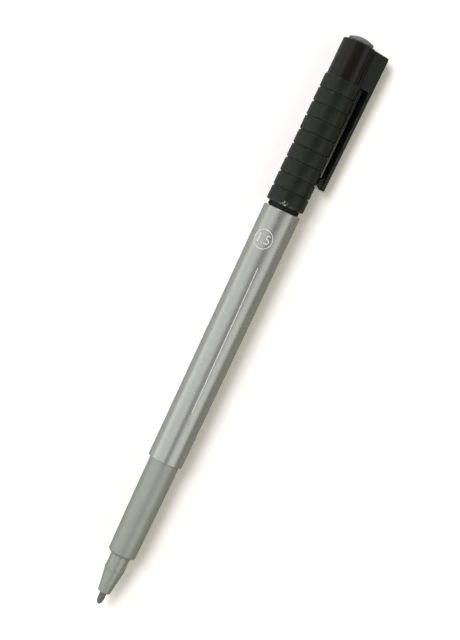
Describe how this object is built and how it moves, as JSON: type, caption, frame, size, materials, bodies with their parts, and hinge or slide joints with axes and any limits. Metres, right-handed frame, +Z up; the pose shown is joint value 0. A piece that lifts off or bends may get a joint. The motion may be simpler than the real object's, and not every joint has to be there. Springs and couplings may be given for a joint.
{
  "type": "felt-tip pen",
  "caption": "Felt-tip pen with a fibre nib, grey grip, satin silver barrel and a ribbed black cap with a clip, stored pushed onto the rear end.",
  "frame": {"origin": "bottom centre of the part's bounding box, on the table that the pen lies on", "axes": "+X along the pen from the nib to the cap's end, +Y away from the clip, +Z up"},
  "size_m": [0.1642, 0.0138, 0.0104],
  "materials": {
    "nib_fibre": "hard bonded fibre, ink stained",
    "grey_gloss": "semi-gloss grey",
    "grey_matte": "matte grey",
    "silver_satin": "satin silver",
    "clear_film": "thin milky film",
    "ink_fibre": "fibre bundle soaked with ink",
    "black_plug": "matte black",
    "cap_black": "black, matte rings and glossier end",
    "liner_white": "soft white",
    "dome_grey": "semi-gloss blue-grey"
  },
  "bodies": {
    "pen": {"nib": "nib_fibre", "nib_holder": "grey_gloss", "front_section": "grey_matte", "barrel": "silver_satin", "reservoir_film": "clear_film", "reservoir_core": "ink_fibre", "rear_plug": "black_plug"},
    "cap_carrier": {"cap_liner": "liner_white"},
    "cap": {"cap_shell": "cap_black", "cap_end_plug": "dome_grey"},
    "clip": {"cap_clip": "cap_black"}
  },
  "joints": [
    {"name": "cap_slide", "type": "slide", "parent": "pen", "child": "cap_carrier", "axis": [1, 0, 0], "range_m": [0, 0.024]},
    {"name": "cap_turn", "type": "hinge", "parent": "cap_carrier", "child": "cap", "pos_m": [0.05688, 0.00165, 0.00522], "axis": [-1, 0, 0], "continuous": true},
    {"name": "clip_flex", "type": "hinge", "parent": "cap", "child": "clip", "pos_m": [0.06878, -0.0054, 0.00256], "axis": [0, -0.3533, 0.9355], "range_deg": [0, 3], "stiffness_Nm_per_rad": 0.2}
  ]
}
